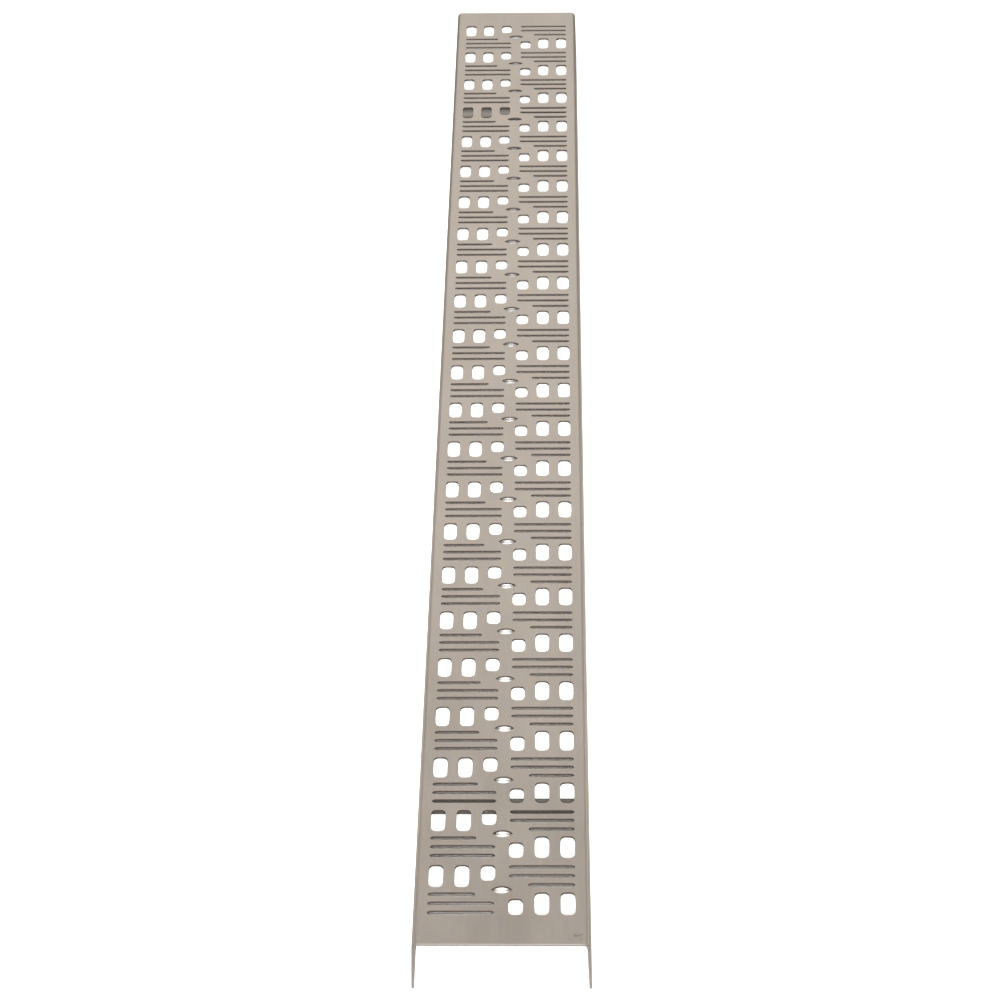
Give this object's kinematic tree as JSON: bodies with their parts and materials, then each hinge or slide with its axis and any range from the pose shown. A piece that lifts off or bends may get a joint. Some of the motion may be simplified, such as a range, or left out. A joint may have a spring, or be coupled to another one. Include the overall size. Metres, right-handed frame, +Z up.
{
  "type": "perforated channel tray",
  "caption": "Long narrow stainless channel tray with a punched deck of rounded windows, slots and lens holes, folded side flanges and cross rods underneath.",
  "frame": {"origin": "on the floor under the middle of the deck", "axes": "+X across the tray, +Y along it, +Z up out of the deck"},
  "size_m": [0.103, 1, 0.04],
  "materials": {
    "sheet_steel": "satin, fine brushed grain along the length",
    "rod_steel": "bright drawn round bar",
    "weld_steel": "pickled weld bead"
  },
  "bodies": {
    "root": {"deck_panel": "sheet_steel", "left_flange": "sheet_steel", "right_flange": "sheet_steel", "front_cross_rod": "rod_steel", "rear_cross_rod": "rod_steel", "front_left_weld": "weld_steel", "front_right_weld": "weld_steel", "rear_left_weld": "weld_steel", "rear_right_weld": "weld_steel"}
  },
  "joints": []
}
